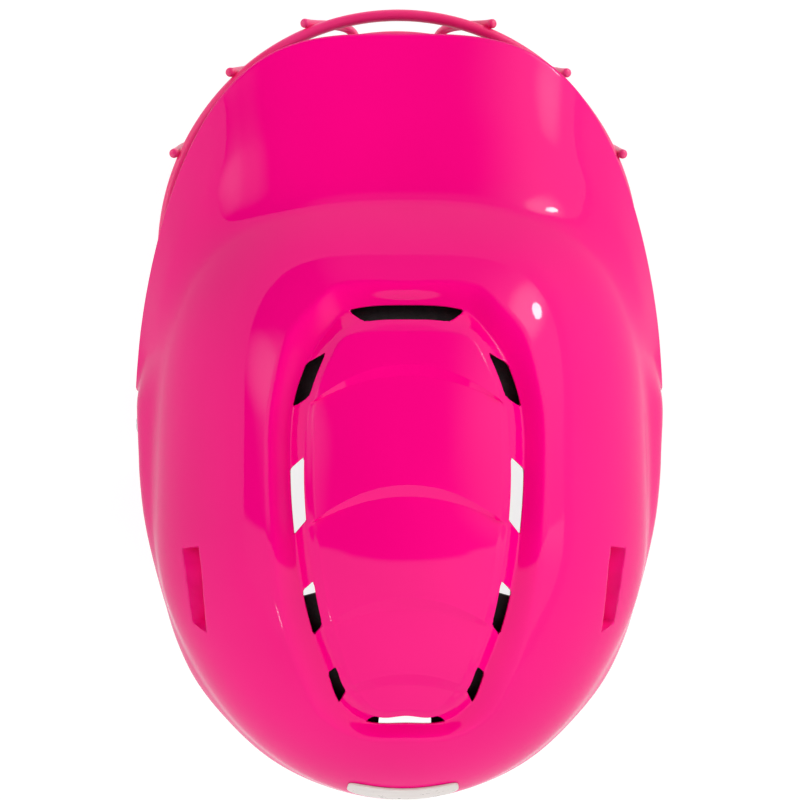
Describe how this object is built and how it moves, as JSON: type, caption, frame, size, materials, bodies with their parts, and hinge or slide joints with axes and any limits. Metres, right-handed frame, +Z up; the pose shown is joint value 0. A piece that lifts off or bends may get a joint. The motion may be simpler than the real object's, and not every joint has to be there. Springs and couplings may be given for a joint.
{
  "type": "batting helmet with face guard",
  "caption": "Glossy pink batting helmet with brim, ear flaps, vented crown recess, foam pads and a coated wire face guard held by clips and screws.",
  "frame": {"origin": "centre of the footprint, on the plane of the ear flap bottoms and the chin bar", "axes": "+Z up through the crown; the face and brim point along -Y; +X is the wearer's left"},
  "size_m": [0.2232, 0.3333, 0.2105],
  "materials": {
    "shell_gloss": "high gloss, hot pink",
    "pad_foam": "matt black closed-cell foam",
    "badge_pale": "plain pale plastic",
    "guard_coating": "satin pink coating on steel wire",
    "clip_plastic": "semi-gloss pink",
    "fastener_steel": "nickel-plated steel"
  },
  "bodies": {
    "helmet": {"shell": "shell_gloss", "front_pad": "pad_foam", "crown_pad": "pad_foam", "side_pad_left": "pad_foam", "side_pad_right": "pad_foam", "rear_pad_left": "pad_foam", "rear_pad_right": "pad_foam", "ear_pad_left": "pad_foam", "ear_pad_right": "pad_foam", "rear_badge": "badge_pale", "brow_bar": "guard_coating", "eye_bar": "guard_coating", "mouth_bar": "guard_coating", "chin_bar": "guard_coating", "side_bar_left": "guard_coating", "side_bar_right": "guard_coating", "nose_upright_left": "guard_coating", "nose_upright_right": "guard_coating", "cheek_upright_left": "guard_coating", "cheek_upright_right": "guard_coating", "temple_upright_left": "guard_coating", "temple_upright_right": "guard_coating", "clip_upper_left": "clip_plastic", "clip_upper_right": "clip_plastic", "clip_lower_left": "clip_plastic", "clip_lower_right": "clip_plastic", "t_nuts": "fastener_steel", "strap_studs": "fastener_steel"},
    "screw_upper_left": {"screw_upper_left": "fastener_steel"},
    "screw_upper_right": {"screw_upper_right": "fastener_steel"},
    "screw_lower_left": {"screw_lower_left": "fastener_steel"},
    "screw_lower_right": {"screw_lower_right": "fastener_steel"}
  },
  "joints": [
    {"name": "turn_upper_left", "type": "hinge", "parent": "helmet", "child": "screw_upper_left", "pos_m": [0.10597, 0.009, 0.05401], "axis": [0.9961, 0, -0.088], "continuous": true},
    {"name": "turn_upper_right", "type": "hinge", "parent": "helmet", "child": "screw_upper_right", "pos_m": [-0.10597, 0.009, 0.05401], "axis": [-0.9961, 0, -0.088], "continuous": true},
    {"name": "turn_lower_left", "type": "hinge", "parent": "helmet", "child": "screw_lower_left", "pos_m": [0.10332, 0.01704, 0.02401], "axis": [0.9961, 0, -0.088], "continuous": true},
    {"name": "turn_lower_right", "type": "hinge", "parent": "helmet", "child": "screw_lower_right", "pos_m": [-0.10332, 0.01704, 0.02401], "axis": [-0.9961, 0, -0.088], "continuous": true}
  ]
}
